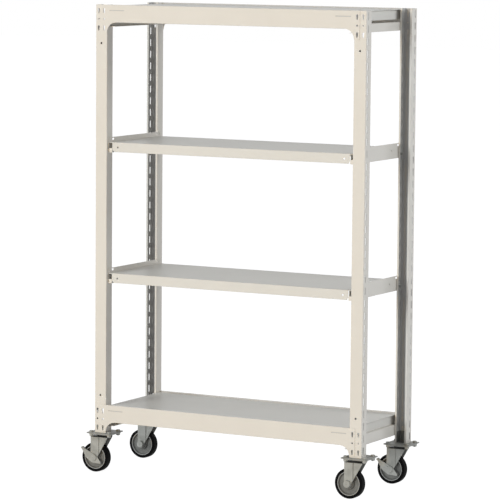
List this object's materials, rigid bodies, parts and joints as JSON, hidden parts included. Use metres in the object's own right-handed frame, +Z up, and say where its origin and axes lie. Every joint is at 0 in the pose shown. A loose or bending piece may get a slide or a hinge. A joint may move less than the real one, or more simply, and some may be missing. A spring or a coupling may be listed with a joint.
{
  "type": "mobile shelving",
  "caption": "Open steel shelving rack on swivel castors: slotted corner posts, gusseted end frames, flat folded boards and a foot brake on two of the castors.",
  "frame": {"origin": "centre of the bounding box at floor level, below the rack", "axes": "+Z up, +X along the rack's width to the right as seen from the front, +Y from the front to the rear"},
  "size_m": [1.3602, 0.507, 1.9745],
  "materials": {
    "ivory_paint": "smooth satin powder coat over folded sheet steel",
    "zinc_plate": "bright zinc plate with a soft sheen",
    "galvanised_plate": "dull zinc plate",
    "black_rubber": "matt black rubber tread"
  },
  "bodies": {
    "root": {"post_front_left": "ivory_paint", "post_front_right": "ivory_paint", "post_rear_left": "ivory_paint", "post_rear_right": "ivory_paint", "top_beam_front": "ivory_paint", "top_beam_rear": "ivory_paint", "top_rail_right": "ivory_paint", "top_rail_left": "ivory_paint", "top_board": "ivory_paint", "top_board_stiffener": "ivory_paint", "foot_beam_front": "ivory_paint", "foot_beam_rear": "ivory_paint", "foot_rail_right": "ivory_paint", "foot_rail_left": "ivory_paint", "foot_board": "ivory_paint", "foot_board_stiffener": "ivory_paint", "upper_bracket_right": "ivory_paint", "upper_bracket_left": "ivory_paint", "upper_board": "ivory_paint", "upper_board_stiffener": "ivory_paint", "lower_bracket_right": "ivory_paint", "lower_bracket_left": "ivory_paint", "lower_board": "ivory_paint", "lower_board_stiffener": "ivory_paint", "upper_bolt_front_left": "zinc_plate", "upper_bolt_front_right": "zinc_plate", "upper_bolt_rear_left": "zinc_plate", "upper_bolt_rear_right": "zinc_plate", "lower_bolt_front_left": "zinc_plate", "lower_bolt_front_right": "zinc_plate", "lower_bolt_rear_left": "zinc_plate", "lower_bolt_rear_right": "zinc_plate", "foot_plate_front_left": "galvanised_plate", "foot_plate_front_right": "galvanised_plate", "foot_plate_rear_left": "galvanised_plate", "foot_plate_rear_right": "galvanised_plate", "castor_plate_front_left": "zinc_plate", "castor_plate_front_right": "zinc_plate", "castor_plate_rear_left": "zinc_plate", "castor_plate_rear_right": "zinc_plate"},
    "fork_front_left": {"fork_front_left": "zinc_plate", "axle_front_left": "zinc_plate"},
    "wheel_front_left": {"wheel_front_left": "zinc_plate", "tyre_front_left": "black_rubber"},
    "fork_front_right": {"fork_front_right": "zinc_plate", "axle_front_right": "zinc_plate"},
    "wheel_front_right": {"wheel_front_right": "zinc_plate", "tyre_front_right": "black_rubber"},
    "fork_rear_left": {"fork_rear_left": "zinc_plate", "axle_rear_left": "zinc_plate"},
    "wheel_rear_left": {"wheel_rear_left": "zinc_plate", "tyre_rear_left": "black_rubber"},
    "fork_rear_right": {"fork_rear_right": "zinc_plate", "axle_rear_right": "zinc_plate"},
    "wheel_rear_right": {"wheel_rear_right": "zinc_plate", "tyre_rear_right": "black_rubber"},
    "brake_lever_front_left": {"brake_lever_front_left": "zinc_plate"},
    "brake_lever_rear_right": {"brake_lever_rear_right": "zinc_plate"}
  },
  "joints": [
    {"name": "swivel_front_left", "type": "hinge", "parent": "root", "child": "fork_front_left", "pos_m": [-0.57755, -0.1965, 0.15], "axis": [0, 0, 1], "continuous": true},
    {"name": "wheel_spin_front_left", "type": "hinge", "parent": "fork_front_left", "child": "wheel_front_left", "pos_m": [-0.61755, -0.1965, 0.0625], "axis": [0, 1, 0], "continuous": true},
    {"name": "swivel_front_right", "type": "hinge", "parent": "root", "child": "fork_front_right", "pos_m": [0.62305, -0.1965, 0.15], "axis": [0, 0, 1], "continuous": true},
    {"name": "wheel_spin_front_right", "type": "hinge", "parent": "fork_front_right", "child": "wheel_front_right", "pos_m": [0.58305, -0.1965, 0.0625], "axis": [0, 1, 0], "continuous": true},
    {"name": "swivel_rear_left", "type": "hinge", "parent": "root", "child": "fork_rear_left", "pos_m": [-0.57755, 0.1965, 0.15], "axis": [0, 0, 1], "continuous": true},
    {"name": "wheel_spin_rear_left", "type": "hinge", "parent": "fork_rear_left", "child": "wheel_rear_left", "pos_m": [-0.61755, 0.1965, 0.0625], "axis": [0, 1, 0], "continuous": true},
    {"name": "swivel_rear_right", "type": "hinge", "parent": "root", "child": "fork_rear_right", "pos_m": [0.62305, 0.1965, 0.15], "axis": [0, 0, 1], "continuous": true},
    {"name": "wheel_spin_rear_right", "type": "hinge", "parent": "fork_rear_right", "child": "wheel_rear_right", "pos_m": [0.58305, 0.1965, 0.0625], "axis": [0, 1, 0], "continuous": true},
    {"name": "brake_front_left", "type": "hinge", "parent": "fork_front_left", "child": "brake_lever_front_left", "pos_m": [-0.61755, -0.1965, 0.0625], "axis": [0, -1, 0], "range_deg": [0, 18]},
    {"name": "brake_rear_right", "type": "hinge", "parent": "fork_rear_right", "child": "brake_lever_rear_right", "pos_m": [0.58305, 0.1965, 0.0625], "axis": [0, -1, 0], "range_deg": [0, 18]}
  ]
}
